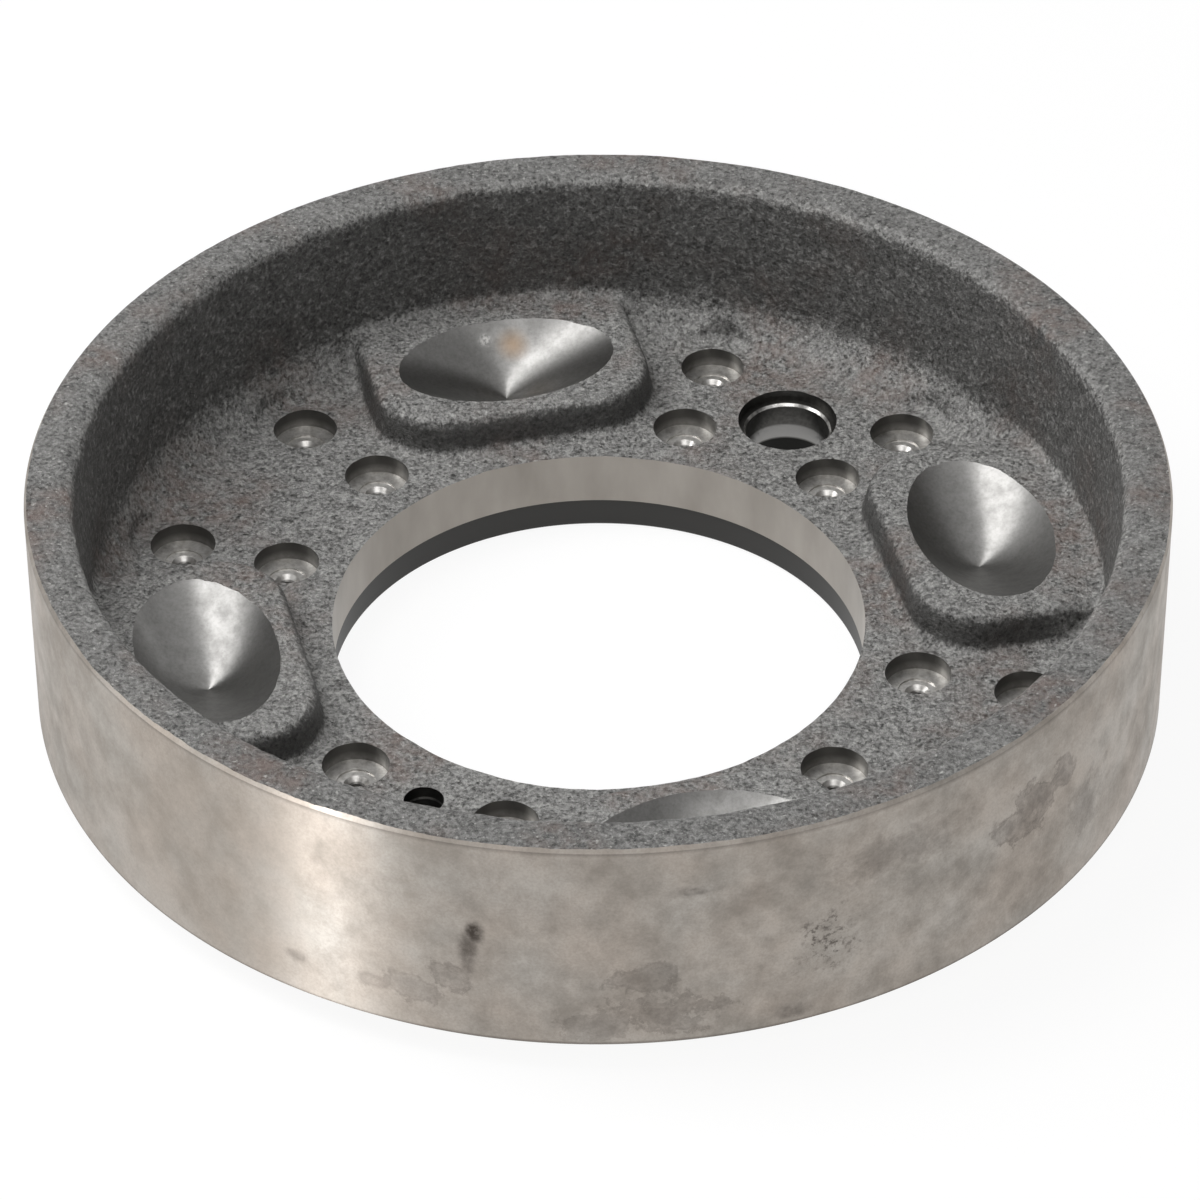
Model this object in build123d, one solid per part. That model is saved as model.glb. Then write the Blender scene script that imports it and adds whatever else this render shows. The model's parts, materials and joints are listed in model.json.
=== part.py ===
"""Cast-iron brake drum: a shallow cup with a turned outside, a bored web and four ball-ramp pockets.

One casting, in millimetres.  +Z points out of the open mouth, z = 0 is the turned seat on the
underside and the bore axis is the Z axis.
"""
from build123d import *
import os
from math import atan2, cos, hypot, radians, sin, tan

# ---------------------------------------------------------------- driving dimensions (mm, degrees)
# drum
outer_r = 150.0            # turned outside
drum_height = 72.0         # seat to rim
foot_z = 5.5               # lower edge of the outer wall above the seat
foot_chamfer = 3.0
foot_step = 24.0           # width of the step round the raised seat pad on the underside
rim_chamfer_axial = 1.4    # tool break where the turned outside meets the cast rim
rim_chamfer_radial = 0.8
rim_wall = 12.8            # wall thickness at the rim, before its edge is rounded
wall_draft_drop = 2.6      # how much the inner wall closes in towards the web
rim_inner_round = 3.2
web_top = 24.5             # cast floor of the cup
corner_fillet_r = 14.0     # big cast fillet between floor and wall
# central bore
bore_r = 71.0
lower_bore_r = 71.8        # slightly larger relief turned from below
lower_bore_height = 9.0
# pattern: twelve stations round the axis
first_station = 14.0
stations = 12
# blind seats, in pairs
inner_row_land = 16.5      # bore wall to the inner row of seats
outer_row_gap = 17.6       # outer row of seats to the inner wall
seat_hole_r = 8.8
seat_hole_depth = 5.6
dimple_r = 3.2             # centre-drilled mark in the floor of each seat
dimple_point_angle = 45.0
relief_r = 13.6            # cast scallop that clears each outer seat out of the corner fillet
relief_draft = 12.0
# bosses and ball-ramp pockets
boss_height = 10.0
boss_land = 10.0           # floor left between the bore and the boss fronts
boss_half_width = 38.5
boss_corner_r = 19.0
boss_draft = 7.0
boss_edge_round = 2.4
boss_foot_round = 2.2
ramp_wall_gap = 9.8        # pocket mouth to the inner wall
ramp_radial = 18.8         # half width of a pocket across the ramp
ramp_along = 30.4          # half length of a pocket along the ramp
ramp_depth = 13.5
ramp_point_angle = 30.0    # slope of the pointed bottom
ramp_point_r = 9.4         # radius of the pointed bottom, across the ramp
# stepped through hole and small drain hole
pin_mouth_r = 13.7
pin_mouth_depth = 3.2
pin_hole_r = 11.6
pin_edge_break = 0.7
pin_lower_r = 13.2
pin_lower_height = 9.5
small_hole_r = 5.2

# ---------------------------------------------------------------- derived
boss_top = web_top + boss_height
pitch = 360.0 / stations
ramp_stations = (0, 3, 6, 9)
seat_stations = tuple(i for i in range(stations) if i not in ramp_stations)
pin_angle = first_station + 1.5 * pitch
small_angle = pin_angle + 180.0
seat_outer_r = outer_r - foot_step
rim_inner_r = outer_r - rim_wall
corner_top_z = web_top + corner_fillet_r
wall_low_r = rim_inner_r - wall_draft_drop
floor_outer_r = wall_low_r - corner_fillet_r
inner_row_r = bore_r + inner_row_land
outer_row_r = wall_low_r - outer_row_gap
boss_inner_r = bore_r + boss_land
ramp_centre_r = wall_low_r - ramp_wall_gap - ramp_radial
pin_hole_centre_r = (inner_row_r + outer_row_r) / 2
small_hole_centre_r = inner_row_r


def turned(points, arcs=()):
    """Solid of revolution about Z from (r, z) corners; arcs maps a corner index to a mid point."""
    arcs = dict(arcs)
    lines = []
    for i, a in enumerate(points):
        b = points[(i + 1) % len(points)]
        if i in arcs:
            lines.append(ThreePointArc((a[0], 0, a[1]), (arcs[i][0], 0, arcs[i][1]), (b[0], 0, b[1])))
        else:
            lines.append(Line((a[0], 0, a[1]), (b[0], 0, b[1])))
    face = make_face(Curve() + lines)
    return revolve(face, Axis.Z, 360)


def at(angle, radius, z=0.0):
    """Location on the pattern, local X pointing away from the axis."""
    a = radians(angle)
    return Location((radius * cos(a), radius * sin(a), z), (0, 0, angle))


# ---------------------------------------------------------------- the turned and cast body
drum_section = [
    (lower_bore_r + 0.8, 0.0),
    (seat_outer_r - 1.0, 0.0),
    (seat_outer_r, 1.0),
    (seat_outer_r, foot_z - 2.0),
    (seat_outer_r + 2.0, foot_z),
    (outer_r - foot_chamfer, foot_z),
    (outer_r, foot_z + foot_chamfer),
    (outer_r, drum_height - rim_chamfer_axial),
    (outer_r - rim_chamfer_radial, drum_height),
    (rim_inner_r + rim_inner_round, drum_height),
    (rim_inner_r, drum_height - rim_inner_round),
    (wall_low_r, corner_top_z),
    (floor_outer_r, web_top),
    (bore_r, web_top),
    (bore_r, lower_bore_height + 0.4),
    (lower_bore_r, lower_bore_height),
    (lower_bore_r, 0.8),
]
q = sin(radians(45))
section_arcs = {
    9: (rim_inner_r + rim_inner_round * (1 - q), drum_height - rim_inner_round * (1 - q)),
    11: (wall_low_r - corner_fillet_r * (1 - q), corner_top_z - corner_fillet_r * q),
}
drum = Rot(0, 0, pin_angle) * turned(drum_section, section_arcs)   # seam clear of every boss

# ---------------------------------------------------------------- ramp bosses
boss_outer = outer_r - 0.7 * rim_wall
boss_len = boss_outer - boss_inner_r
taper_out = (boss_height + 1.0) * tan(radians(boss_draft))
boss_plan = Rectangle(boss_len + boss_corner_r, 2 * (boss_half_width + taper_out))
boss_plan = fillet(boss_plan.vertices(), boss_corner_r)
boss = extrude(boss_plan, boss_height + 1.0, taper=boss_draft)
boss_shift = boss_inner_r - taper_out + (boss_len + boss_corner_r) / 2
inside = Cylinder(outer_r - 0.5 * rim_wall, drum_height, align=(Align.CENTER, Align.CENTER, Align.MIN))
bosses = []
for i in ramp_stations:
    b = at(first_station + i * pitch, boss_shift, web_top - 1.0) * boss
    bosses.append(b & inside)
drum = drum + bosses

# round the cast edges of the bosses: the crown first, then the foot round into the floor


def level_edges(shape, z, r_min, r_max):
    """Short edges lying in the plane z, between two distances from the axis."""
    found = []
    for e in shape.edges():
        box, c = e.bounding_box(), e.center(CenterOf.MASS)
        flat = abs(box.min.Z - z) < 0.01 and abs(box.max.Z - z) < 0.01
        if flat and r_min < hypot(c.X, c.Y) < r_max and e.length < 60:
            found.append(e)
    return found


drum = fillet(level_edges(drum, boss_top, bore_r + boss_land / 2, wall_low_r - boss_height), boss_edge_round)
drum = fillet(level_edges(drum, web_top, bore_r + boss_land / 2, wall_low_r - boss_height / 2), boss_foot_round)

# ---------------------------------------------------------------- reliefs round the outer seats
relief_h = corner_fillet_r
relief_top_r = relief_r + relief_h * tan(radians(relief_draft))
relief = Cone(relief_r, relief_top_r, relief_h, align=(Align.CENTER, Align.CENTER, Align.MIN))

# ---------------------------------------------------------------- blind seats
seat = turned([
    (0, 4.0),
    (seat_hole_r, 4.0),
    (seat_hole_r, -seat_hole_depth),
    (dimple_r, -seat_hole_depth),
    (0, -seat_hole_depth - dimple_r * tan(radians(dimple_point_angle))),
])

cuts = []
for i in seat_stations:
    a = first_station + i * pitch
    cuts.append(at(a, outer_row_r, web_top) * relief)
    cuts.append(at(a, outer_row_r, web_top) * seat)
    cuts.append(at(a, inner_row_r, web_top) * seat)

# ---------------------------------------------------------------- ball-ramp pockets
# A pointed bowl turned about the ball's axis and drawn out along the ramp: the point is straight,
# the flanks curve up to the crown of the boss, so the mouth is a true ellipse.
point_z = -ramp_depth + ramp_point_r * tan(radians(ramp_point_angle))
chord = atan2(-point_z, ramp_radial - ramp_point_r)
turn = chord - radians(ramp_point_angle)
flank_r = hypot(ramp_radial - ramp_point_r, point_z) / 2 / sin(turn)
flank_c = (
    ramp_point_r - flank_r * sin(radians(ramp_point_angle)),
    point_z + flank_r * cos(radians(ramp_point_angle)),
)
mid = radians(ramp_point_angle) + turn
flank_mid = (flank_c[0] + flank_r * sin(mid), flank_c[1] - flank_r * cos(mid))
lip_slope = radians(ramp_point_angle) + 2 * turn
lip_r = ramp_radial + 2.0 / tan(lip_slope)
bowl = turned(
    [(0, -ramp_depth), (ramp_point_r, point_z), (ramp_radial, 0), (lip_r, 2.0), (0, 2.0)],
    {1: flank_mid},
)
ramp = scale(bowl, by=(1, ramp_along / ramp_radial, 1))
for i in ramp_stations:
    cuts.append(at(first_station + i * pitch, ramp_centre_r, boss_top) * ramp)

# ---------------------------------------------------------------- stepped pin hole, small hole
ledge = web_top - pin_mouth_depth
pin_hole = turned([
    (0, web_top + 4.0),
    (pin_mouth_r, web_top + 4.0),
    (pin_mouth_r, ledge),
    (pin_hole_r + pin_edge_break, ledge),
    (pin_hole_r, ledge - pin_edge_break),
    (pin_hole_r, pin_lower_height),
    (pin_lower_r, pin_lower_height - 1.0),
    (pin_lower_r, -1.0),
    (0, -1.0),
])
cuts.append(at(pin_angle, pin_hole_centre_r) * pin_hole)
small_hole = Cylinder(small_hole_r, web_top + 2.0, align=(Align.CENTER, Align.CENTER, Align.MIN))
cuts.append(at(small_angle, small_hole_centre_r, -1.0) * small_hole)

brake_drum = drum - cuts

os.makedirs("parts", exist_ok=True)
export_step(brake_drum, "parts/brake_drum.step")
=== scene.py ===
"""Brake drum: the raw casting is made, then turned, milled and drilled as the real one is."""
import json
from math import atan2, cos, degrees, hypot, pi, radians, sin, tan

import bpy
from bpy.props import FloatProperty, FloatVectorProperty, IntProperty, PointerProperty
from mathutils import Matrix, Vector


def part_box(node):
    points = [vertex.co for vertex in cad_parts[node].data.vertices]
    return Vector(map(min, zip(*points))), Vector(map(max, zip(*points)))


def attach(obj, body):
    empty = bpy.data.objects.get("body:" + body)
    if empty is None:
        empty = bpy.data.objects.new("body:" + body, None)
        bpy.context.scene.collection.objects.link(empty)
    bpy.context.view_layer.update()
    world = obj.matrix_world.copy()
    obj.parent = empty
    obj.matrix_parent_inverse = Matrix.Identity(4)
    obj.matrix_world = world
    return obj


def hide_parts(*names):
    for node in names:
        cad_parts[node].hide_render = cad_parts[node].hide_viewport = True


bl_info = {
    "name": "Brake drum",
    "version": (1, 0, 0),
    "blender": (4, 5, 0),
    "location": "View3D > Sidebar > Brake drum",
    "description": "Casts, machines and finishes a ball-ramp brake drum",
    "category": "Add Mesh",
}

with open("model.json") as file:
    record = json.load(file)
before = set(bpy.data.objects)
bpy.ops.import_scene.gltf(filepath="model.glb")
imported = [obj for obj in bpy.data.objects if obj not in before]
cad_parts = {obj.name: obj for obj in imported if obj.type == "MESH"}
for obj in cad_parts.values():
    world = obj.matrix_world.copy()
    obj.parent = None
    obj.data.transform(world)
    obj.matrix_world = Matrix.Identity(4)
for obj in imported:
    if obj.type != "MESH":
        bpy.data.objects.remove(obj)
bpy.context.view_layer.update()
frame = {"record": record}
NODE = "brake_drum"
BODY = "root"
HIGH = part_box(NODE)[1]
MOUNTS = {mount["name"]: mount for mount in frame["record"]["mounts"]}
MM = 0.001


def wall_radius(mount):
    """Radius of a round mount, in metres."""
    return MOUNTS[mount]["dims"]["r_mm"] * MM


def wall_length(mount):
    """Length of a round mount's wall, in metres."""
    return MOUNTS[mount]["dims"]["length_mm"] * MM


def circle_of(mount):
    """Distance from the drum's axis, in metres, and angle from +X, in degrees."""
    x, y, _ = MOUNTS[mount]["pos_m"]
    return hypot(x, y), degrees(atan2(y, x))


RAMP_CIRCLE, FIRST_ANGLE = circle_of("ball_ramps")
RAMP_BOTTOM = MOUNTS["ball_ramps"]["pos_m"][2]
PIN_CIRCLE, PIN_ANGLE = circle_of("pin_hole")
SMALL_CIRCLE, SMALL_ANGLE = circle_of("small_hole")

# a noise lies mostly between such values, so the closer they are, the harder its spots' edges
SOFT, CLEAR = (0.30, 0.70), (0.35, 0.65)
TOOL_LINE_DRIFT = 2.5 * MM      # how far a turned face's fine lines wander in one turn
ACROSS_TANGENT = 0.25           # part of a turn from the tangent, so that glints cross the lines

# marks on the outside, listed one by one. Each row: angle (degrees), height, half width, half
# height (mm), raggedness, share of its darkness that is a tide line round its edge, darkness
STAINS = (
    (-101.9, 42.8, 3.0, 4.8, 0.9, 0.0, 1.00),     # run of oil: its head
    (-102.5, 36.0, 2.6, 7.5, 1.6, 0.2, 0.95),     # its tail
    (-104.6, 27.0, 5.5, 5.0, 3.0, 0.5, 0.60),     # where it spread
    (-108.0, 21.5, 8.0, 4.5, 3.4, 0.5, 0.50),
    (-120.2, 19.8, 3.0, 1.7, 1.4, 0.3, 0.60),
    (-112.0, 20.0, 4.0, 2.0, 2.4, 0.6, 0.40),
    (-117.5, 54.5, 2.0, 1.6, 1.4, 0.3, 0.30),
    (-47.0, 44.5, 5.5, 4.5, 2.6, 0.5, 0.90),      # smoky patch on the right
    (-43.5, 45.5, 9.0, 8.0, 3.4, 0.4, 0.90),
    (-39.0, 49.0, 5.0, 5.0, 3.0, 0.4, 0.85),
    (-34.0, 32.0, 9.0, 9.0, 4.0, 0.3, 0.45),
    (-81.0, 57.0, 4.5, 1.2, 2.4, 0.3, 0.60),
    (-86.0, 30.0, 7.5, 4.0, 3.6, 0.5, 0.60),      # water marks low at the front
    (-83.0, 18.0, 12.0, 5.5, 4.0, 0.4, 0.65),
    (-90.5, 14.0, 8.0, 5.0, 4.0, 0.4, 0.50),
    (-71.6, 12.5, 4.0, 2.5, 2.8, 0.2, 0.60),
    (-60.3, 55.0, 18.0, 7.0, 3.6, 0.2, 0.40),
)
SPECKS = (-67.8, 32.5, 9.0, 11.0, 3.0, 0.0, 0.75)     # a cloud of dark specks
# two spots in the back pocket: middle and radius, in metres
RUBBED = ((-0.0320, 0.1178, 0.0300), 0.0032)
BROWNED = ((-0.0240, 0.1165, 0.0300), 0.0062)

# lamps on the stage, all aimed at LOOK_AT: name, place and size in metres, power in watts
LOOK_AT = Vector((0.0, 0.0, 0.03))
LAMPS = (
    ("key", (-0.56, 0.08, 1.74), (0.9, 0.7), 11.0),
    ("side", (-1.25, 0.15, 1.28), (0.9, 0.9), 12.0),
    ("back", (0.35, 0.75, 1.73), (1.6, 1.6), 3.5),
    ("front", (0.10, -0.90, 1.53), (1.4, 1.0), 6.0),
    ("strip", (-1.27, -1.20, 0.035), (0.25, 0.06), 13.0),
)
CAMERA_PLACE = (0.0, -1.249351, 1.021395)
LENS, SENSOR = 179.913, 36.0                            # mm
LOOK_DOWN, TURN_RIGHT, TILT = 38.4238, 0.0162, -0.1874  # degrees


def length(name, description, default):
    """A size in metres that a user can set."""
    return FloatProperty(name=name, description=description, default=default, min=0.0,
                         unit="LENGTH", precision=4)


def draft(name, description, default):
    """A slope that a user can set, with its default in degrees."""
    return FloatProperty(name=name, description=description, default=radians(default),
                         subtype="ANGLE")


def share(name, description, default):
    """A number from 0 to 1 that a user can set."""
    return FloatProperty(name=name, description=description, default=default, min=0.0, max=1.0)


def colour(name, description, default):
    """A surface colour that a user can set."""
    return FloatVectorProperty(name=name, description=description, default=default, size=3,
                               min=0.0, max=1.0, subtype="COLOR")


class DrumSizes(bpy.types.PropertyGroup):
    """Sizes of the drum's section."""

    outer: length("Outer radius", "Turned outside", HIGH.x)
    height: length("Height", "Seat to rim", HIGH.z)
    bore: length("Bore radius", "Bored hole through the web", wall_radius("centre_bore"))
    lower_bore: length("Lower bore radius", "Wider bore on the seat side",
                       wall_radius("lower_bore"))
    lower_bore_edge: length("Lower bore edge", "Edge break of the lower bore", 0.0008)
    bore_step: length("Bore step", "Bevel between the two bores", 0.0004)
    web_top: length("Web top", "Cast floor of the cup above the seat", 0.0245)
    rim_wall: length("Rim wall", "Wall thickness at the rim", 0.0128)
    wall_draft: length("Wall draft", "How far the inner wall closes in towards the web", 0.0026)
    rim_round: length("Rim rounding", "Cast rounding of the rim's inner edge", 0.0032)
    corner_round: length("Corner rounding", "Cast rounding between web and wall", 0.014)
    rim_chamfer: length("Rim chamfer height", "Tool break where the outside meets the rim", 0.0014)
    rim_chamfer_depth: length("Rim chamfer depth", "The same chamfer, measured inwards", 0.0008)
    foot: length("Foot height", "Lower edge of the outer wall above the seat", 0.0055)
    foot_chamfer: length("Foot chamfer", "Chamfer of the wall's lower edge", 0.003)
    foot_step: length("Foot step", "Step round the raised seat pad", 0.024)
    seat_edge: length("Seat edge", "Edge break of the seat pad", 0.001)
    steps: IntProperty(name="Steps", description="Faces round a turned surface", default=360,
                       min=24)


class BossSizes(bpy.types.PropertyGroup):
    """Sizes of the four cast bosses and the pockets milled into them."""

    count: IntProperty(name="Count", description="Bosses round the web", default=4, min=1)
    height: length("Height", "Boss above the web", 0.010)
    land: length("Land", "Web left between the bore and a boss", 0.010)
    half_width: length("Half width", "Half a boss's width along the circle", 0.0385)
    corner: length("Corner", "Rounding of a boss's corners seen from above", 0.019)
    crown: length("Crown", "Rounding of a boss's upper edge", 0.0024)
    side_draft: draft("Side draft", "Slope of a boss's sides", 7.0)
    radial: length("Pocket across", "Half width of a pocket across the ramp", 0.0188)
    along: length("Pocket along", "Half length of a pocket along the ramp", 0.0304)
    tip: share("Tip", "How conical a pocket's bottom is; at 0 its ramps meet in a crease", 0.37)


class SeatSizes(bpy.types.PropertyGroup):
    """Sizes of the sixteen blind seats and the two holes through the web."""

    stations: IntProperty(name="Stations", description="Places on the pattern", default=12, min=3)
    inner_land: length("Inner land", "Bore wall to the inner row", 0.0165)
    outer_gap: length("Outer gap", "Outer row to the inner wall", 0.0176)
    radius: length("Radius", "Seat wall", 0.0088)
    depth: length("Depth", "Seat depth below the web", 0.0056)
    floor_drop: length("Floor drop", "Slope of the seat's floor towards its middle", 0.0008)
    ring: length("Ring radius", "Raised ring left by the tool", 0.0052)
    dimple: length("Dimple radius", "Countersunk middle", 0.0034)
    pilot: length("Pilot radius", "Small blind hole in the middle", 0.0019)
    pilot_depth: length("Pilot depth", "Depth of that hole", 0.0022)
    relief: length("Relief radius", "Cast scallop round an outer seat", 0.0136)
    relief_draft: draft("Relief draft", "Slope of the scallop's wall", 12.0)
    pin_mouth: length("Pin mouth radius", "Spot face round the pin hole", 0.0137)
    pin_mouth_depth: length("Pin mouth depth", "Depth of that spot face", 0.0032)
    pin_edge: length("Pin edge", "Edge break of the pin hole", 0.0007)
    pin_lower: length("Pin lower radius", "Wider part of the pin hole below", 0.0132)
    pin_lower_height: length("Pin lower height", "Height of that wider part", 0.0095)
    pin_band: length("Pin band", "Pale band above it, where the pin has rubbed", 0.0045)


class SkinSizes(bpy.types.PropertyGroup):
    """How rough the sand mould left the casting."""

    cell: length("Cell", "Mesh size of the cast skin", 0.00122)
    stock: length("Stock", "Iron that machining takes off", 0.003)
    blend: IntProperty(name="Blend", description="Smoothing passes over the cast corners",
                       default=3, min=0)
    lump: length("Lump", "Size of the finer lumps", 0.003)
    lump_height: length("Lump height", "Height of the finer lumps", 0.0004)
    wave: length("Wave", "Size of the wide waves", 0.014)
    wave_height: length("Wave height", "Height of the wide waves", 0.0006)
    grain: length("Sand grain", "Size of a grain of sand", 0.0010)
    # painted shade: how much darker the steep walls and the sides of the bosses are painted
    wall_shade_share: share("Dirt", "How much darker the steep walls are", 0.62)
    boss_shade_share: share("Boss dirt", "How much darker the sides of the bosses are", 0.75)


class FinishColours(bpy.types.PropertyGroup):
    """Colours and roughness of the finishes."""

    cast: colour("Cast skin", "Grey of the raw casting", (0.55, 0.545, 0.53))
    # also the colour of the painted shade on the steep walls and the sides of the bosses
    cast_dark_and_shade: colour("Cast hollows", "Darker grey between the grains", (0.035, 0.034, 0.032))
    # painted glints: pale specks standing in for grains that catch the light
    painted_glint: colour("Glints", "Bare grains that catch the light", (0.75, 0.74, 0.71))
    rust: colour("Rust", "Light rust on the casting", (0.16, 0.085, 0.06))
    turned: colour("Turned iron", "Satin outside", (0.45, 0.42, 0.385))
    turned_warm: colour("Turned iron, warmer", "Where it has browned a little",
                        (0.43, 0.38, 0.335))
    stain: colour("Stain", "Brown-grey oil stain", (0.20, 0.18, 0.155))
    stain_dark: colour("Dark stain", "Where oil has run", (0.07, 0.058, 0.05))
    bored: colour("Bored iron", "Wall of the bore", (0.40, 0.37, 0.335))
    # also the colour of the painted shade on the walls of the seats and the pin hole
    dark_iron_and_shade: colour("Dark wall", "Walls of the seats and the pin hole", (0.12, 0.117, 0.11))
    unlit: colour("Unlit iron", "Depth of the pin hole", (0.012, 0.012, 0.011))
    # painted shade on the lower bore and in the pin hole
    lower: colour("Lower bore", "Darker wall on the seat side", (0.045, 0.044, 0.042))
    milled: colour("Milled iron", "Satin ball pockets", (0.28, 0.276, 0.268))
    browned: colour("Browned iron", "Brown spot in a pocket", (0.30, 0.19, 0.10))
    drilled: colour("Drilled iron", "Seats and holes", (0.76, 0.745, 0.72))
    turned_roughness: share("Turned roughness", "Roughness of the outside", 0.40)
    milled_roughness: share("Milled roughness", "Roughness of the pockets", 0.38)


GROUPS = {"drum_sizes": DrumSizes, "boss_sizes": BossSizes, "seat_sizes": SeatSizes,
          "skin_sizes": SkinSizes, "finish_colours": FinishColours}


# ---------------------------------------------------------------- modelling helpers
def only(piece):
    """Makes this piece the only one selected, and active."""
    bpy.ops.object.select_all(action="DESELECT")
    piece.select_set(True)
    bpy.context.view_layer.objects.active = piece


def arc(centre, radius, start, end, count):
    """Points (r, z) on an arc from one angle to another, in degrees."""
    turn = [radians(start + (end - start) * i / count) for i in range(count + 1)]
    return [(centre[0] + radius * cos(a), centre[1] + radius * sin(a)) for a in turn]


def turned(name, section, finish, steps):
    """A solid turned about Z from its closed section, a list of (r, z)."""
    bpy.ops.object.select_all(action="DESELECT")
    bpy.ops.mesh.primitive_circle_add(vertices=len(section), radius=1.0)
    piece = bpy.context.object
    piece.name = name
    for vertex, (r, z) in zip(piece.data.vertices, section):
        vertex.co = (r, 0.0, z)
    bpy.ops.object.mode_set(mode="EDIT")
    bpy.ops.mesh.select_all(action="SELECT")
    bpy.ops.mesh.spin(steps=steps, angle=2 * pi, center=(0, 0, 0), axis=(0, 0, 1))
    bpy.ops.mesh.select_all(action="SELECT")
    bpy.ops.mesh.remove_doubles(threshold=1e-6)
    bpy.ops.mesh.normals_make_consistent(inside=False)
    bpy.ops.object.mode_set(mode="OBJECT")
    piece.data.materials.append(bpy.data.materials[finish])
    return piece


def place(piece, radius, angle, z=0.0):
    """Moves a piece's mesh out along X by radius, turns it by angle (degrees), lifts it by z."""
    a = radians(angle)
    piece.data.transform(Matrix.Translation((radius * cos(a), radius * sin(a), z))
                         @ Matrix.Rotation(a, 4, "Z"))


def finish_with(piece, kind, **settings):
    """Adds a modifier with these settings and applies it."""
    only(piece)
    modifier = piece.modifiers.new(kind.lower(), kind)
    for key, value in settings.items():
        setattr(modifier, key, value)
    bpy.ops.object.modifier_apply(modifier=modifier.name)


def combine(piece, tool, operation):
    """Joins or cuts piece with tool, which is used up. New faces keep the tool's finish."""
    finish_with(piece, "BOOLEAN", operation=operation, object=tool, solver="MANIFOLD",
                material_mode="TRANSFER")
    bpy.data.objects.remove(tool)
    if not piece.data.polygons:
        raise RuntimeError(f"{operation} left nothing of {piece.name}")


def joined(tools):
    """Several tools as one."""
    only(tools[0])
    for tool in tools:
        tool.select_set(True)
    bpy.ops.object.join()
    return tools[0]


def casting():
    """The drum, as far as it is made."""
    found = bpy.data.objects.get("brake_drum_iron")
    if found is None:
        raise RuntimeError("cast the blank first")
    return found


def seat_angles():
    """Angles of the stations that have no boss, in degrees."""
    seats, bosses = bpy.context.scene.seat_sizes, bpy.context.scene.boss_sizes
    every = seats.stations // bosses.count
    pitch = 360.0 / seats.stations
    return [FIRST_ANGLE + i * pitch for i in range(seats.stations) if i % every]


def boss_angles():
    """Angles of the bosses, in degrees."""
    count = bpy.context.scene.boss_sizes.count
    return [FIRST_ANGLE + i * 360.0 / count for i in range(count)]


def inner_wall(drum):
    """Radius of the inner wall where it is narrowest, above the corner rounding."""
    return drum.outer - drum.rim_wall - drum.wall_draft


def lower_bore_top(drum):
    """Height at which the lower bore ends."""
    return wall_length("lower_bore") + drum.lower_bore_edge


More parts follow.
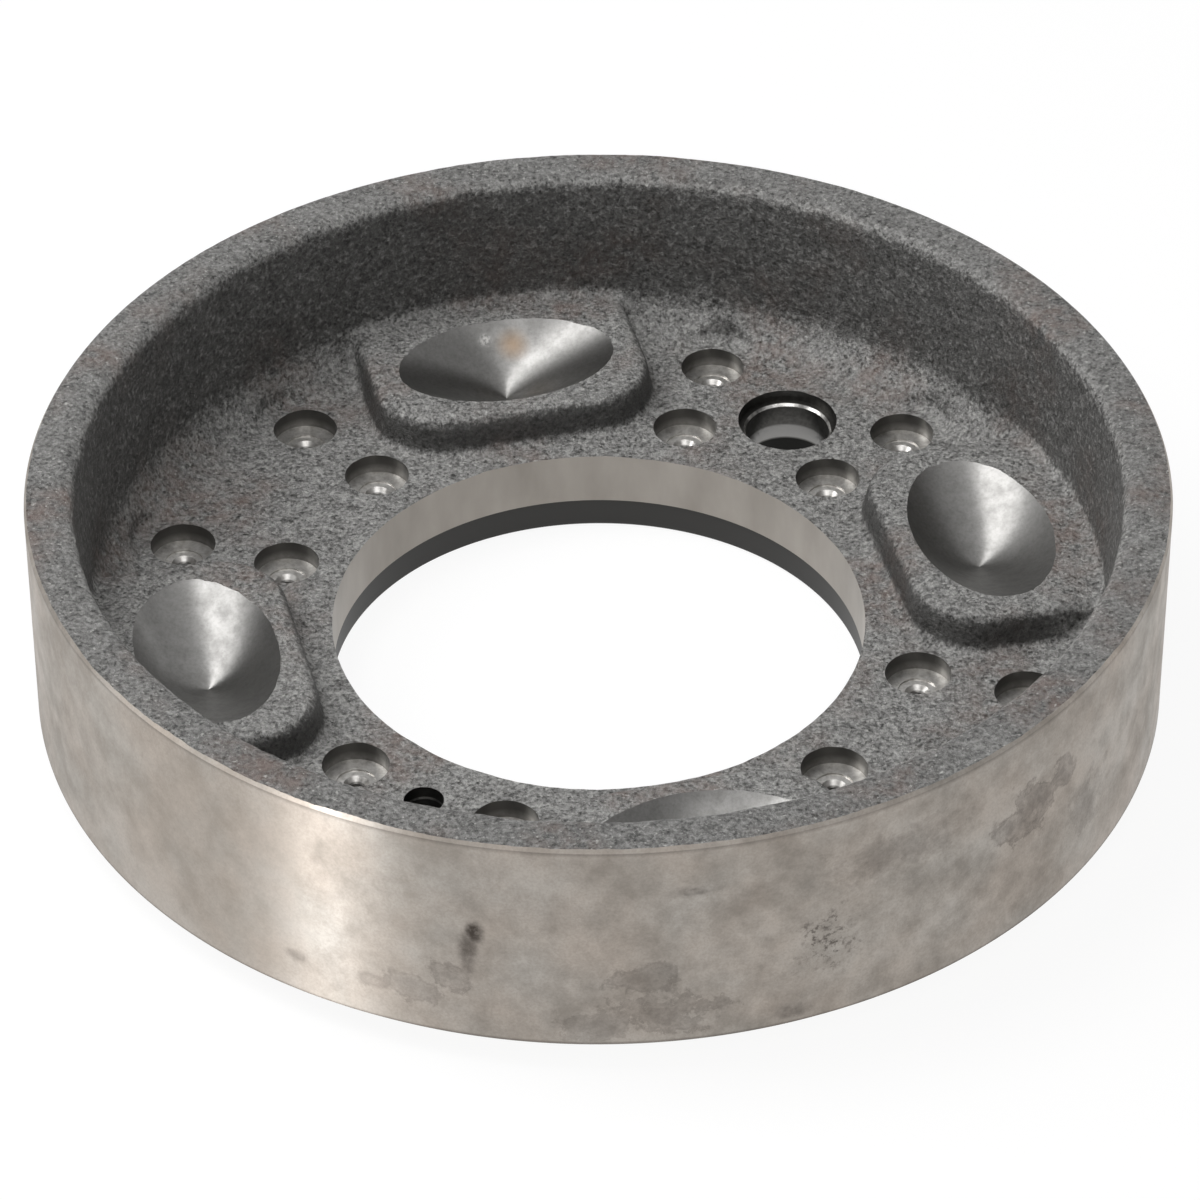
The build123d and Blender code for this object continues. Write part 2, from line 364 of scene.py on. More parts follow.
# ---------------------------------------------------------------- shading helpers
class Recipe:
    """The node tree of a material or a world, with short ways to add and join nodes."""

    def __init__(self, owner, coordinates="Object"):
        owner.use_nodes = True
        self.owner = owner
        self.tree = owner.node_tree
        self.place = self.add("ShaderNodeTexCoord").outputs[coordinates]

    def add(self, kind, **settings):
        """A new node with these settings."""
        node = self.tree.nodes.new(kind)
        for key, value in settings.items():
            setattr(node, key, value)
        return node

    def feed(self, socket, value):
        """Links a socket to another one, or sets it to a number, a place or a colour."""
        if isinstance(value, bpy.types.NodeSocket):
            self.tree.links.new(value, socket)
        elif hasattr(value, "__len__") and socket.type == "RGBA":
            socket.default_value = (*value[:3], 1.0)
        else:
            socket.default_value = value

    def maths(self, operation, *values):
        """One Math node, fed with one or two values."""
        node = self.add("ShaderNodeMath", operation=operation)
        for socket, value in zip(node.inputs, values):
            self.feed(socket, value)
        return node.outputs[0]

    def plus(self, a, b):
        """a + b."""
        return self.maths("ADD", a, b)

    def minus(self, a, b):
        """a - b."""
        return self.maths("SUBTRACT", a, b)

    def times(self, a, b):
        """a x b."""
        return self.maths("MULTIPLY", a, b)

    def most(self, a, b):
        """The larger of a and b."""
        return self.maths("MAXIMUM", a, b)

    def distance(self, x, y):
        """How far (x, y) is from the origin."""
        return self.maths("SQRT", self.plus(self.times(x, x), self.times(y, y)))

    def shares(self, *parts):
        """Sum of several values, each given with its share."""
        total = self.times(*parts[0])
        for part in parts[1:]:
            total = self.plus(total, self.times(*part))
        return total

    def vector(self, x, y, z=0.0):
        """Three values as one vector."""
        node = self.add("ShaderNodeCombineXYZ")
        for socket, value in zip(node.inputs, (x, y, z)):
            self.feed(socket, value)
        return node.outputs[0]

    def split(self, vector):
        """The x, y and z of a vector."""
        node = self.add("ShaderNodeSeparateXYZ")
        self.feed(node.inputs[0], vector)
        return node.outputs

    def noise(self, size, detail=2.0, rough=0.5, place=None, stretch=(1, 1, 1)):
        """Noise whose spots are about size metres across, from 0 to 1."""
        mapping = self.add("ShaderNodeMapping")
        self.feed(mapping.inputs["Vector"], place or self.place)
        mapping.inputs["Scale"].default_value = [1 / (size * s) for s in stretch]
        node = self.add("ShaderNodeTexNoise")
        self.feed(node.inputs["Vector"], mapping.outputs[0])
        node.inputs["Scale"].default_value = 1.0
        node.inputs["Detail"].default_value = detail
        node.inputs["Roughness"].default_value = rough
        return node.outputs["Fac"]

    def grains(self, size):
        """Grains of that size, each with its own number from 0 to 1."""
        node = self.add("ShaderNodeTexVoronoi")
        self.feed(node.inputs["Vector"], self.place)
        node.inputs["Scale"].default_value = 1 / size
        own = self.add("ShaderNodeSeparateColor")
        self.feed(own.inputs[0], node.outputs["Color"])
        return own.outputs[0]

    def spread(self, value, low, high, to_low=0.0, to_high=1.0, smooth=False):
        """Maps low..high to to_low..to_high, clamped."""
        node = self.add("ShaderNodeMapRange", clamp=True)
        if smooth:
            node.interpolation_type = "SMOOTHSTEP"
        for socket, item in zip(node.inputs, (value, low, high, to_low, to_high)):
            self.feed(socket, item)
        return node.outputs[0]

    def fade(self, value, low, high, start=1.0, smooth=False):
        """Falls from start at low to 0 at high."""
        return self.spread(value, low, high, start, 0.0, smooth)

    def blend(self, share_of_b, a, b):
        """Colour a towards colour b."""
        node = self.add("ShaderNodeMix", data_type="RGBA")
        self.feed(node.inputs["Factor"], share_of_b)
        self.feed(node.inputs[6], a)
        self.feed(node.inputs[7], b)
        return node.outputs[2]

    def mix_shaders(self, share_of_b, a, b, output):
        """Shader a towards shader b, as the tree's own surface."""
        mix = self.add("ShaderNodeMixShader")
        for socket, value in zip(mix.inputs, (share_of_b, a.outputs[0], b.outputs[0])):
            self.feed(socket, value)
        self.feed(self.tree.nodes[output].inputs["Surface"], mix.outputs[0])

    def ring_place(self):
        """Angle in radians, distance from the axis and height."""
        x, y, z = self.split(self.place)
        return self.maths("ARCTAN2", y, x), self.distance(x, y), z

    def tool_lines(self, size):
        """Fine rings round the axis, as a turning tool leaves them."""
        angle, radius, z = self.ring_place()
        x = self.times(self.maths("COSINE", angle), TOOL_LINE_DRIFT)
        y = self.times(self.maths("SINE", angle), TOOL_LINE_DRIFT)
        return self.noise(size, place=self.vector(x, y, self.plus(z, radius)))

    def pocket_place(self):
        """Reach and angle round the nearest ball pocket's own axis, and the direction round it."""
        sizes = bpy.context.scene.boss_sizes
        squash = sizes.radial / sizes.along
        angle, radius, _ = self.ring_place()
        pitch = 2 * pi / sizes.count
        turns = self.maths("DIVIDE", self.minus(angle, radians(FIRST_ANGLE)), pitch)
        off = self.times(self.minus(turns, self.maths("ROUND", turns)), pitch)
        out = self.minus(self.times(radius, self.maths("COSINE", off)), RAMP_CIRCLE)
        squashed = self.times(self.times(radius, self.maths("SINE", off)), squash)
        turn = self.maths("ARCTAN2", squashed, out)
        around = self.plus(self.maths("ARCTAN2", out, self.times(squashed, -squash)),
                           self.minus(angle, off))
        direction = self.vector(self.maths("COSINE", around), self.maths("SINE", around))
        return self.distance(out, squashed), turn, direction

    def patch(self, wall, wobble, angle, height, half_width, half_height, ragged, line, darkness):
        """A stain on the outside wall, as a row of STAINS describes it."""
        full, gone, tide = 0.3, 1.15, 0.9       # in stain radii from its middle
        tide_width = 1.3                        # mm
        node = self.add("ShaderNodeMapping")
        self.feed(node.inputs["Vector"], wall)
        node.inputs["Location"].default_value = (-radians(angle) * HIGH.x, -height * MM, 0.0)
        across, up, _ = self.split(node.outputs[0])
        far = self.distance(self.maths("DIVIDE", across, half_width * MM),
                            self.maths("DIVIDE", up, half_height * MM))
        far = self.plus(far, self.times(wobble, ragged))
        inside = self.fade(far, full, gone, darkness * (1.0 - line), smooth=True)
        off_line = self.maths("ABSOLUTE", self.minus(far, tide))
        soft = tide_width / min(half_width, half_height)
        return self.plus(inside, self.fade(off_line, 0.0, soft, darkness * line, smooth=True))

    def near(self, point, radius):
        """1 at a point of the piece, fading to 0 at that distance from it."""
        node = self.add("ShaderNodeVectorMath", operation="DISTANCE")
        self.feed(node.inputs[0], self.place)
        node.inputs[1].default_value = point
        return self.fade(node.outputs["Value"], 0.0, radius, smooth=True)

    def bumps(self, height, depth, strength):
        """A normal that follows a height of that depth in metres."""
        node = self.add("ShaderNodeBump")
        self.feed(node.inputs["Height"], height)
        node.inputs["Distance"].default_value = depth
        node.inputs["Strength"].default_value = strength
        return node.outputs[0]

    def seen(self):
        """1 where the surface is seen directly, in a reflection or through glass."""
        path = self.add("ShaderNodeLightPath")
        seen = self.most(path.outputs["Is Camera Ray"], path.outputs["Is Glossy Ray"])
        return self.most(seen, path.outputs["Is Transmission Ray"])

    def surface(self, **inputs):
        """Feeds the Principled BSDF; Base_Color stands for its Base Color, and so on."""
        shader = self.tree.nodes["Principled BSDF"]
        for name, value in inputs.items():
            self.feed(shader.inputs[name.replace("_", " ")], value)
        return shader


def cast_skin(finish, skin):
    """Raw sand-cast grey iron: grains, rusty patches, painted glints, painted shade on steep
    walls.
    """
    r = Recipe(bpy.data.materials.new("cast_skin"))
    radius, z = r.ring_place()[1:]
    own = r.grains(0.8 * skin.grain)
    grit = r.noise(1.5 * skin.grain, detail=4.0, rough=0.75)
    fine = r.noise(0.9 * skin.grain, rough=0.7)
    mid = r.noise(5 * MM, detail=3.0, rough=0.6)
    wide = r.noise(35 * MM)
    tone = r.shares((grit, 0.40), (fine, 0.30), (mid, 0.15), (own, 0.15))
    # the rim's flat top is calmer and a little darker
    rim_calm, rim_tone = 0.25, 0.32
    crest = HIGH.z - 1.5 * MM
    calm = r.spread(z, crest, crest + MM, 0.0, rim_calm)
    tone = r.plus(r.times(tone, r.minus(1.0, calm)), r.times(calm, rim_tone))
    base = r.blend(r.spread(tone, *CLEAR), finish.cast_dark_and_shade, finish.cast)
    rusty = r.times(r.spread(wide, 0.50, 0.66), r.spread(mid, *CLEAR))
    base = r.blend(r.times(rusty, 0.5), base, finish.rust)
    # painted glints: pale specks painted where grains would catch the light
    painted_glint = r.spread(r.noise(1.1 * skin.grain, detail=1.0), 0.66, 0.76)
    base = r.blend(r.times(painted_glint, 0.5), base, finish.painted_glint)
    # painted shade on steep walls and boss sides: up is 0 on an upright wall, 1 on a level floor;
    # the grit frays it
    upright = r.split(r.add("ShaderNodeTexCoord").outputs["Normal"])[2]
    up = r.plus(upright, r.spread(grit, *SOFT, -0.3, 0.3))
    steep = r.fade(up, 0.10, 0.50, skin.wall_shade_share)
    # painted shade on the sides of the bosses, fading out towards the outer wall
    boss_shade_reach = RAMP_CIRCLE + 22 * MM
    boss = r.times(r.fade(radius, boss_shade_reach - 10 * MM, boss_shade_reach, skin.boss_shade_share), r.fade(up, 0.40, 0.95))
    base = r.blend(r.most(steep, boss), base, finish.cast_dark_and_shade)
    height = r.plus(grit, r.times(own, 0.15))
    r.surface(Base_Color=base, Roughness=r.spread(own, 0.0, 1.0, 0.34, 0.70), Metallic=0.3,
              Normal=r.bumps(height, depth=0.9 * MM, strength=1.0))


def turned_iron(finish, drum):
    """The turned outside: satin, with fine tool lines, cloudy patches and a few stains."""
    r = Recipe(bpy.data.materials.new("turned_iron"))
    angle, radius, z = r.ring_place()
    wall = r.vector(r.times(angle, HIGH.x), z, radius)
    cloud = r.noise(30 * MM, detail=6.0, rough=0.62)
    patchy = r.noise(9 * MM, detail=7.0, rough=0.70)
    warm = r.noise(24 * MM, detail=3.0)
    speck = r.noise(0.7 * MM, rough=0.6)
    dull = r.spread(r.shares((cloud, 0.5), (patchy, 0.5)), 0.42, 0.60)
    base = r.blend(r.spread(warm, *CLEAR), finish.turned, finish.turned_warm)
    base = r.blend(r.times(dull, 0.50), base, finish.stain)
    base = r.blend(r.spread(speck, 0.40, 0.65, 0.0, 0.20), base, finish.stain)
    # stains, with painted shade over the foot's chamfer and a dark line under the rim's
    base = r.blend(r.most(stains(r, wall), foot_shade_and_rim_line(r, radius, z, drum)), base,
                   finish.stain_dark)
    r.surface(Base_Color=base, Metallic=1.0, Anisotropic=0.85,
              Roughness=r.plus(finish.turned_roughness, r.times(dull, 0.12)),
              Anisotropic_Rotation=ACROSS_TANGENT,
              Normal=r.bumps(r.tool_lines(0.5 * MM), depth=0.01 * MM, strength=0.4),
              Tangent=r.add("ShaderNodeTangent", direction_type="RADIAL", axis="Z").outputs[0])


def stains(r, wall):
    """All marks of STAINS and SPECKS on the outside wall."""
    wobble = r.minus(r.noise(7 * MM, detail=7.0, rough=0.68), 0.5)
    broken = r.spread(r.noise(4 * MM, detail=6.0, rough=0.7), 0.35, 0.55, 0.50, 1.0)
    spots = r.spread(r.noise(1.8 * MM, detail=4.0, rough=0.65), 0.50, 0.62)
    marks = r.times(r.patch(wall, wobble, *SPECKS), spots)
    for mark in STAINS:
        marks = r.most(marks, r.times(broken, r.patch(wall, wobble, *mark)))
    return marks


def foot_shade_and_rim_line(r, radius, z, drum):
    """Painted shade in a dark line over the foot's chamfer, and a fainter dark line under the
    rim's.
    """
    foot, foot_line = drum.foot + drum.foot_chamfer, 0.8 * MM
    rim, rim_line = drum.height - drum.rim_chamfer, 1.2 * MM
    wall = drum.outer - drum.foot_chamfer
    # painted shade over the foot's chamfer
    low = r.times(r.fade(z, foot, foot + foot_line, 0.6), r.spread(radius, wall - MM, wall))
    high = r.times(r.spread(z, rim - rim_line, rim - 0.2 * MM, 0.0, 0.35),
                   r.fade(z, rim, rim + 0.1 * MM))
    return r.most(low, high)


def bored_iron(finish, drum):
    """Wall of the bore: smooth and warm grey, with painted shade below the step."""
    r = Recipe(bpy.data.materials.new("bored_iron"))
    z = r.ring_place()[2]
    step = lower_bore_top(drum)
    cloud = r.noise(12 * MM, detail=4.0, stretch=(1, 1, 2.5))
    base = r.blend(r.spread(cloud, *SOFT, 0.0, 0.5), finish.bored, finish.stain)
    # painted shade on the lower bore, below the step
    base = r.blend(r.fade(z, step - 0.2 * MM, step + drum.bore_step), base, finish.lower)
    r.surface(Base_Color=base, Roughness=0.45, Metallic=0.7,
              Normal=r.bumps(r.tool_lines(0.8 * MM), depth=0.02 * MM, strength=0.4))


def milled_iron(finish):
    """The ball pockets: satin, with rings left by the cutter and a few scuffs."""
    r = Recipe(bpy.data.materials.new("milled_iron"))
    reach, turn, around = r.pocket_place()
    rings = r.noise(0.9 * MM, place=r.vector(reach, r.times(turn, 1.2 * MM)))
    speck = r.noise(0.9 * MM, rough=0.7)
    dull = r.spread(r.noise(4 * MM, detail=5.0, rough=0.7), 0.42, 0.66)
    base = r.blend(r.times(dull, 0.30), finish.milled, finish.dark_iron_and_shade)
    base = r.blend(r.spread(speck, 0.42, 0.68, 0.0, 0.25), base, finish.dark_iron_and_shade)
    base = r.blend(r.times(r.near(*BROWNED), 0.6), base, finish.browned)
    rubbed = r.times(r.near(*RUBBED), r.spread(speck, 0.40, 0.60))
    base = r.blend(rubbed, base, finish.drilled)
    r.surface(Base_Color=base, Metallic=1.0, Anisotropic=0.35,
              Roughness=r.plus(finish.milled_roughness, r.times(dull, 0.06)),
              Anisotropic_Rotation=ACROSS_TANGENT, Tangent=around,
              Normal=r.bumps(rings, depth=0.03 * MM, strength=0.6))


def drilled_iron(finish, seats, drum):
    """Blind seats: bright floors, with painted shade on the walls and in the small hole in the
    middle.
    """
    r = Recipe(bpy.data.materials.new("drilled_iron"))
    z = r.ring_place()[2]
    speck = r.noise(1.5 * MM, detail=3.0, rough=0.6)
    floor = drum.web_top - seats.depth
    hole = floor - seats.pilot_depth
    # painted shade on the seat's wall
    wall = r.times(r.spread(z, floor + 1 * MM, floor + 3 * MM, 0.75, 1.0),
                   r.spread(z, floor, floor + 0.1 * MM))
    base = r.blend(r.spread(speck, *SOFT, 0.0, 0.5), finish.drilled, finish.stain)
    base = r.blend(wall, base, finish.dark_iron_and_shade)
    # painted shade in the small hole at the middle
    base = r.blend(r.fade(z, hole, hole + 0.2 * MM, 0.8), base, finish.dark_iron_and_shade)
    r.surface(Base_Color=base, Roughness=0.34, Metallic=0.9,
              Normal=r.bumps(speck, depth=0.08 * MM, strength=0.5))


def pin_iron(finish, seats, drum):
    """The stepped hole: painted shade on its walls and unlit depth, a painted highlight on its
    edge, a paler band above.
    """
    r = Recipe(bpy.data.materials.new("pin_iron"))
    z = r.ring_place()[2]
    speck = r.noise(1.5 * MM, detail=3.0, rough=0.6)
    ledge = drum.web_top - seats.pin_mouth_depth
    edge = ledge - seats.pin_edge
    foot = seats.pin_lower_height + 0.3 * MM
    top = seats.pin_lower_height + seats.pin_band
    # a paler band on the wall above the wider part
    band = r.times(r.spread(z, foot, foot + 0.4 * MM), r.fade(z, top, top + 0.6 * MM))
    # painted highlight on the chamfered edge, broken into painted glints
    bright = r.times(r.spread(z, edge - 0.3 * MM, edge),
                     r.fade(z, ledge - 0.15 * MM, ledge - 0.05 * MM))
    painted_glint = r.spread(r.noise(4 * MM, detail=3.0), 0.42, 0.58, 0.25, 1.0)
    # painted shade on the hole's walls, and the unlit depth below
    base = r.blend(r.spread(speck, *SOFT, 0.0, 0.5), finish.dark_iron_and_shade, finish.lower)
    base = r.blend(r.fade(z, foot - 0.4 * MM, foot), base, finish.unlit)
    base = r.blend(band, base, finish.milled)
    base = r.blend(r.times(bright, painted_glint), base, finish.drilled)
    r.surface(Base_Color=base, Roughness=0.30, Metallic=0.9,
              Normal=r.bumps(speck, depth=0.12 * MM, strength=0.6))


# ---------------------------------------------------------------- operators
class DRUM_OT_mix_finishes(bpy.types.Operator):
    """Mixes the cast, turned, bored, milled and drilled finishes"""

    bl_idname = "drum.mix_finishes"
    bl_label = "Mix the finishes"

    def execute(self, context):
        finish = context.scene.finish_colours
        cast_skin(finish, context.scene.skin_sizes)
        turned_iron(finish, context.scene.drum_sizes)
        bored_iron(finish, context.scene.drum_sizes)
        milled_iron(finish)
        drilled_iron(finish, context.scene.seat_sizes, context.scene.drum_sizes)
        pin_iron(finish, context.scene.seat_sizes, context.scene.drum_sizes)
        return {"FINISHED"}


class DRUM_OT_cast_blank(bpy.types.Operator):
    """Casts the blank: cup, bosses and scallops, with the skin that the sand leaves"""

    bl_idname = "drum.cast_blank"
    bl_label = "Cast the blank"

    def execute(self, context):
        drum, skin = context.scene.drum_sizes, context.scene.skin_sizes
        rim = drum.outer - drum.rim_wall
        low = inner_wall(drum)
        lift = 0.3 * (skin.lump_height + skin.wave_height)      # of the highest grains at the rim
        crest = drum.height - lift
        section = [(drum.bore - skin.stock, -skin.stock), (drum.outer + skin.stock, -skin.stock),
                   (drum.outer + skin.stock, crest)]
        section += arc((rim + drum.rim_round, crest - drum.rim_round), drum.rim_round, 90, 180,
                       count=6)
        section += arc((low - drum.corner_round, drum.web_top + drum.corner_round),
                       drum.corner_round, 0, -90, count=10)
        section += [(drum.bore - skin.stock, drum.web_top)]
        blank = turned("brake_drum_iron", section, "cast_skin", steps=drum.steps)
        self.add_bosses(blank, context.scene.boss_sizes, drum)
        self.scoop_reliefs(blank, context.scene.seat_sizes, drum)
        finish_with(blank, "REMESH", mode="VOXEL", voxel_size=skin.cell)
        finish_with(blank, "SMOOTH", factor=0.5, iterations=skin.blend)
        self.roughen(blank, "sand_lumps", skin.lump, skin.lump_height)
        self.roughen(blank, "sand_waves", skin.wave, skin.wave_height)
        return {"FINISHED"}

    def add_bosses(self, blank, sizes, drum):
        """Joins the drafted bosses to the web, one for each ball pocket."""
        front = drum.bore + sizes.land
        reach = drum.outer - drum.rim_wall / 2
        sunk = -drum.web_top / 4
        crown = drum.web_top + sizes.height
        beside = [(0, 0), (reach, 0), (reach, drum.height), (0, drum.height)]
        for turn in boss_angles():
            bpy.ops.object.select_all(action="DESELECT")
            bpy.ops.mesh.primitive_cube_add(size=1.0)
            boss = bpy.context.object
            for vertex in boss.data.vertices:
                top = sizes.height if vertex.co.z > 0 else sunk
                grow = (sizes.height - top) * tan(sizes.side_draft)
                x = reach + sizes.corner if vertex.co.x > 0 else front - grow
                y = sizes.half_width + grow
                vertex.co = (x, y if vertex.co.y > 0 else -y, drum.web_top + top)
            self.round_edges(boss, lambda a, b: abs(a.z - b.z) > MM, sizes.corner, segments=12)
            self.round_edges(boss, lambda a, b: min(a.z, b.z) > crown - MM / 10, sizes.crown,
                             segments=5)
            boss.data.materials.append(bpy.data.materials["cast_skin"])
            place(boss, 0.0, turn)
            combine(boss, turned("beside_wall", beside, "cast_skin", steps=128), "INTERSECT")
            combine(blank, boss, "UNION")

    def round_edges(self, boss, wanted, radius, segments):
        """Rounds those edges of a boss whose two ends are as wanted."""
        bpy.context.tool_settings.mesh_select_mode = (False, True, False)
        bpy.ops.object.mode_set(mode="EDIT")
        bpy.ops.mesh.select_all(action="DESELECT")
        bpy.ops.object.mode_set(mode="OBJECT")
        points = boss.data.vertices
        for edge in boss.data.edges:
            edge.select = wanted(*(points[i].co for i in edge.vertices))
        bpy.ops.object.mode_set(mode="EDIT")
        bpy.ops.mesh.bevel(offset=radius, segments=segments, affect="EDGES")
        bpy.ops.object.mode_set(mode="OBJECT")

    def scoop_reliefs(self, blank, seats, drum):
        """Clears each outer seat out of the rounding at the wall."""
        wider = seats.relief + drum.corner_round * tan(seats.relief_draft)
        scoops = []
        for turn in seat_angles():
            bpy.ops.object.select_all(action="DESELECT")
            bpy.ops.mesh.primitive_cone_add(vertices=48, radius1=seats.relief, radius2=wider,
                                            depth=drum.corner_round)
            scoop = bpy.context.object
            scoop.data.materials.append(bpy.data.materials["cast_skin"])
            place(scoop, inner_wall(drum) - seats.outer_gap, turn,
                  drum.web_top + drum.corner_round / 2)
            scoops.append(scoop)
        combine(blank, joined(scoops), "DIFFERENCE")

    def roughen(self, blank, name, size, height):
        """Lifts and sinks the skin with clouds of that size."""
        clouds = bpy.data.textures.new(name, "CLOUDS")
        clouds.noise_scale = size
        finish_with(blank, "DISPLACE", texture=clouds, strength=height, mid_level=0.5,
                    texture_coords="LOCAL")


class DRUM_OT_turn_outside(bpy.types.Operator):
    """Turns the outside, foot and seat, and bores the web"""

    bl_idname = "drum.turn_outside"
    bl_label = "Turn and bore"

    def execute(self, context):
        d = context.scene.drum_sizes
        clear = 10 * MM
        seat = d.outer - d.foot_step
        bevel = 2 * MM
        slope = d.rim_chamfer_depth / d.rim_chamfer
        step = lower_bore_top(d)
        inside = d.bore - 2 * context.scene.skin_sizes.stock
        outside = [
            (inside, -clear), (d.outer + clear, -clear), (d.outer + clear, d.height + clear),
            (d.outer - d.rim_chamfer_depth - slope * clear, d.height + clear),
            (d.outer, d.height - d.rim_chamfer), (d.outer, d.foot + d.foot_chamfer),
            (d.outer - d.foot_chamfer, d.foot), (seat + bevel, d.foot), (seat, d.foot - bevel),
            (seat, d.seat_edge), (seat - d.seat_edge, 0.0), (inside, 0.0),
        ]
        bored = [
            (0.0, -clear), (d.lower_bore + d.lower_bore_edge, -clear),
            (d.lower_bore + d.lower_bore_edge, 0.0), (d.lower_bore, d.lower_bore_edge),
            (d.lower_bore, step), (d.bore, step + d.bore_step),
            (d.bore, d.web_top + clear), (0.0, d.web_top + clear),
        ]
        for name, section, finish in (("lathe_bit", outside, "turned_iron"),
                                      ("boring_bar", bored, "bored_iron")):
            combine(casting(), turned(name, section, finish, steps=d.steps), "DIFFERENCE")
        return {"FINISHED"}


class DRUM_OT_mill_pockets(bpy.types.Operator):
    """Mills an oval pocket with a pointed bottom into each boss"""

    bl_idname = "drum.mill_pockets"
    bl_label = "Mill the ball pockets"

    def execute(self, context):
        drum, boss = context.scene.drum_sizes, context.scene.boss_sizes
        crown = drum.web_top + boss.height
        depth = crown - RAMP_BOTTOM
        lid = 8 * MM
        # rings of points, close together near the bottom, out to 1.25 of the mouth
        rings = [i / 200 for i in (0, 1, 3, 7, 14)] + [i / 20 for i in range(3, 26)]
        # a plain cone at first: its points below 0 then take the ramps' heights
        bowl = [(boss.radial * reach, reach - 2.0) for reach in rings] + [(0.0, lid)]
        cutters = []
        for turn in boss_angles():
            cutter = turned("ball_cutter", bowl, "milled_iron", steps=144)
            cutter.data.transform(Matrix.Diagonal((1, boss.along / boss.radial, 1, 1)))
            for vertex in cutter.data.vertices:
                if vertex.co.z < 0:
                    vertex.co.z = self.ramp_height(boss, depth, vertex.co.x, vertex.co.y)
            place(cutter, RAMP_CIRCLE, turn, crown)
            cutters.append(cutter)
        combine(casting(), joined(cutters), "DIFFERENCE")
        return {"FINISHED"}

    def ramp_height(self, boss, depth, across, along):
        """Two straight ramps that rise from a blunt point, hollowed across for the ball."""
        across, along = across / boss.radial, along / boss.along
        reach = hypot(across, along)
        ramp = hypot(along, boss.tip * across)
        return depth * (ramp + reach * (reach - ramp) - 1.0)


class DRUM_OT_drill_seats(bpy.types.Operator):
    """Sinks the blind seats, two at each station between the bosses"""

    bl_idname = "drum.drill_seats"
    bl_label = "Drill the seats"

    def execute(self, context):
        drum, s = context.scene.drum_sizes, context.scene.seat_sizes
        clear, ring_step = 4 * MM, 0.5 * MM
        floor = -s.depth
        slope = s.floor_drop / s.radius
        ring = floor - slope * (s.radius - s.ring)
        lip = ring - slope * (s.ring - s.dimple) - ring_step
        pilot = lip - (s.dimple - s.pilot)
        bit = [(0.0, clear), (s.radius, clear), (s.radius, floor), (s.ring, ring),
               (s.ring, ring - ring_step), (s.dimple, lip), (s.pilot, pilot),
               (s.pilot, pilot - s.pilot_depth), (0.0, pilot - s.pilot_depth)]
        rows = (drum.bore + s.inner_land, inner_wall(drum) - s.outer_gap)
        cutters = []
        for turn in seat_angles():
            for row in rows:
                cutter = turned("seat_cutter", bit, "drilled_iron", steps=64)
                place(cutter, row, turn, drum.web_top)
                cutters.append(cutter)
        combine(casting(), joined(cutters), "DIFFERENCE")
        return {"FINISHED"}


class DRUM_OT_drill_holes(bpy.types.Operator):
    """Drills the stepped pin hole and the small hole through the web"""

    bl_idname = "drum.drill_holes"
    bl_label = "Drill the holes"

    def execute(self, context):
        d, s = context.scene.drum_sizes, context.scene.seat_sizes
        above, below = d.web_top + 5 * MM, -5 * MM
        ledge = d.web_top - s.pin_mouth_depth
        pin, small = wall_radius("pin_hole"), wall_radius("small_hole")
        stepped = [(0.0, above), (s.pin_mouth, above), (s.pin_mouth, ledge),
                   (pin + s.pin_edge, ledge), (pin, ledge - s.pin_edge),
                   (pin, s.pin_lower_height), (s.pin_lower, s.pin_lower_height - MM),
                   (s.pin_lower, below), (0.0, below)]
        straight = [(0.0, above), (small, above), (small, below), (0.0, below)]
        self.drill(turned("pin_cutter", stepped, "pin_iron", steps=96), PIN_CIRCLE, PIN_ANGLE)
        self.drill(turned("small_cutter", straight, "pin_iron", steps=64), SMALL_CIRCLE,
                   SMALL_ANGLE)
        return {"FINISHED"}

    def drill(self, cutter, circle, angle):
        """Puts a cutter at its place on the web and cuts with it."""
        place(cutter, circle, angle)
        combine(casting(), cutter, "DIFFERENCE")


class DRUM_OT_finish_drum(bpy.types.Operator):
    """Keeps machined corners crisp, smooths the rest and sets the drum in the frame"""

    bl_idname = "drum.finish_drum"
    bl_label = "Finish the drum"

    def execute(self, context):
        piece = casting()
        only(piece)
        bpy.ops.object.shade_smooth()
        self.mark_corners(piece)
        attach(piece, BODY)
        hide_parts(NODE)
        return {"FINISHED"}

    def mark_corners(self, piece):
        """Sharp edges: between two finishes, and at corners of machined faces."""
        mesh = piece.data
        faces_of = {}
        for face in mesh.polygons:
            for key in face.edge_keys:
                faces_of.setdefault(key, []).append(face)
        skin = mesh.materials.find("cast_skin")
        corner = cos(radians(25.0))
        for edge in mesh.edges:
            sides = faces_of[tuple(sorted(edge.vertices))]
            if len(sides) == 2:
                a, b = sides
                cut = a.material_index != skin or b.material_index != skin
                edge.use_edge_sharp = (a.material_index != b.material_index
                                       or (cut and a.normal.dot(b.normal) < corner))


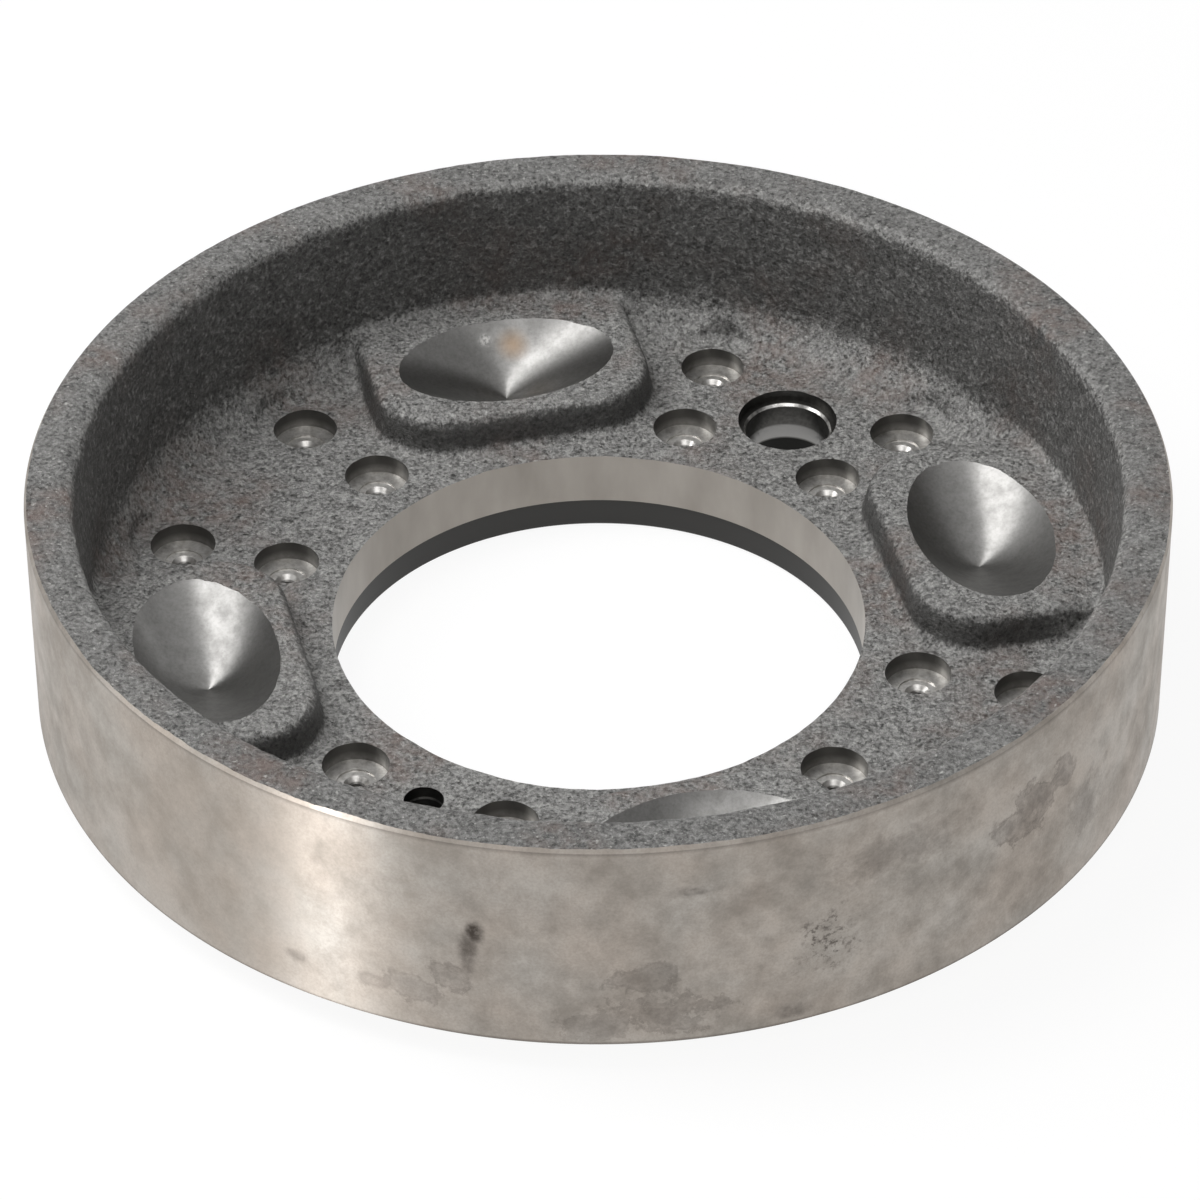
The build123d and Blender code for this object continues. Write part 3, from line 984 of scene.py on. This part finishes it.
class DRUM_OT_set_stage(bpy.types.Operator):
    """Sets the pale floor, the soft lamps and the camera"""

    bl_idname = "drum.set_stage"
    bl_label = "Set the stage"

    def execute(self, context):
        self.floor()
        self.world(context.scene)
        for lamp in LAMPS:
            self.lamp(*lamp)
        self.camera(context.scene)
        context.scene.view_settings.view_transform = "Standard"
        return {"FINISHED"}

    def floor(self):
        """A white floor just under the drum, pale as paper, with only a faint shadow on it."""
        paper, glow, glow_share = (0.92, 0.92, 0.92), 1.04, 0.88
        bpy.ops.object.select_all(action="DESELECT")
        bpy.ops.mesh.primitive_plane_add(size=12.0, location=(0, 0, -0.1 * MM))
        floor = bpy.context.object
        floor.name = "floor"
        r = Recipe(bpy.data.materials.new("pale_floor"))
        sheet = r.surface(Base_Color=paper, Roughness=0.9, Metallic=0.0)
        lit = r.add("ShaderNodeEmission")
        lit.inputs["Strength"].default_value = glow
        r.mix_shaders(r.times(r.seen(), glow_share), sheet, lit, "Material Output")
        floor.data.materials.append(r.owner)

    def world(self, scene):
        """A pale backdrop under a darker ceiling where it is seen, and even light elsewhere."""
        white, ceiling, even_light = (1.0, 1.0, 1.0), (0.30, 0.30, 0.30), 0.05
        r = Recipe(bpy.data.worlds.new("studio"), "Generated")
        even = r.tree.nodes["Background"]
        even.inputs["Color"].default_value = (*white, 1.0)
        even.inputs["Strength"].default_value = even_light
        height = r.spread(r.split(r.place)[2], 0.15, 0.75, smooth=True)
        backdrop = r.add("ShaderNodeBackground")
        r.feed(backdrop.inputs["Color"], r.blend(height, white, ceiling))
        r.mix_shaders(r.seen(), even, backdrop, "World Output")
        scene.world = r.owner

    def lamp(self, name, place_at, size, power):
        """A soft oval lamp, aimed at the drum."""
        bpy.ops.object.select_all(action="DESELECT")
        bpy.ops.object.light_add(type="AREA", location=place_at)
        lamp = bpy.context.object
        lamp.name = name
        lamp.data.shape = "ELLIPSE"
        lamp.data.size, lamp.data.size_y = size
        lamp.data.energy = power
        lamp.rotation_mode = "QUATERNION"
        lamp.rotation_quaternion = (LOOK_AT - Vector(place_at)).to_track_quat("-Z", "Y")

    def camera(self, scene):
        """The camera, looking down into the cup from the front."""
        bpy.ops.object.select_all(action="DESELECT")
        bpy.ops.object.camera_add()
        camera = bpy.context.object
        camera.name = "camera"
        camera.data.sensor_width = SENSOR
        camera.data.lens = LENS
        camera.matrix_world = (Matrix.Translation(CAMERA_PLACE)
                               @ Matrix.Rotation(-radians(TURN_RIGHT), 4, "Z")
                               @ Matrix.Rotation(radians(90.0 - LOOK_DOWN), 4, "X")
                               @ Matrix.Rotation(radians(TILT), 4, "Z"))
        scene.camera = camera


STEPS = (DRUM_OT_mix_finishes, DRUM_OT_cast_blank, DRUM_OT_turn_outside, DRUM_OT_mill_pockets,
         DRUM_OT_drill_seats, DRUM_OT_drill_holes, DRUM_OT_finish_drum, DRUM_OT_set_stage)


class DRUM_PT_sidebar(bpy.types.Panel):
    """Lists the steps in order"""

    bl_idname = "DRUM_PT_sidebar"
    bl_label = "Brake drum"
    bl_space_type = "VIEW_3D"
    bl_region_type = "UI"
    bl_category = "Brake drum"

    def draw(self, context):
        for name in GROUPS:
            box = self.layout.box()
            group = getattr(context.scene, name)
            for key in group.bl_rna.properties.keys():
                if key not in ("rna_type", "name"):
                    box.prop(group, key)
        for step in STEPS:
            self.layout.operator(step.bl_idname)


CLASSES = (*GROUPS.values(), *STEPS, DRUM_PT_sidebar)


def register():
    """Registers the classes and puts the size groups on the scene."""
    for cls in CLASSES:
        bpy.utils.register_class(cls)
    for name, group in GROUPS.items():
        setattr(bpy.types.Scene, name, PointerProperty(type=group))


def unregister():
    """Takes them off again."""
    for name in GROUPS:
        delattr(bpy.types.Scene, name)
    for cls in reversed(CLASSES):
        bpy.utils.unregister_class(cls)


def main():
    """Runs every step in order."""
    register()
    bpy.ops.drum.mix_finishes()
    bpy.ops.drum.cast_blank()
    bpy.ops.drum.turn_outside()
    bpy.ops.drum.mill_pockets()
    bpy.ops.drum.drill_seats()
    bpy.ops.drum.drill_holes()
    bpy.ops.drum.finish_drum()
    bpy.ops.drum.set_stage()


if __name__ == "__main__":
    main()
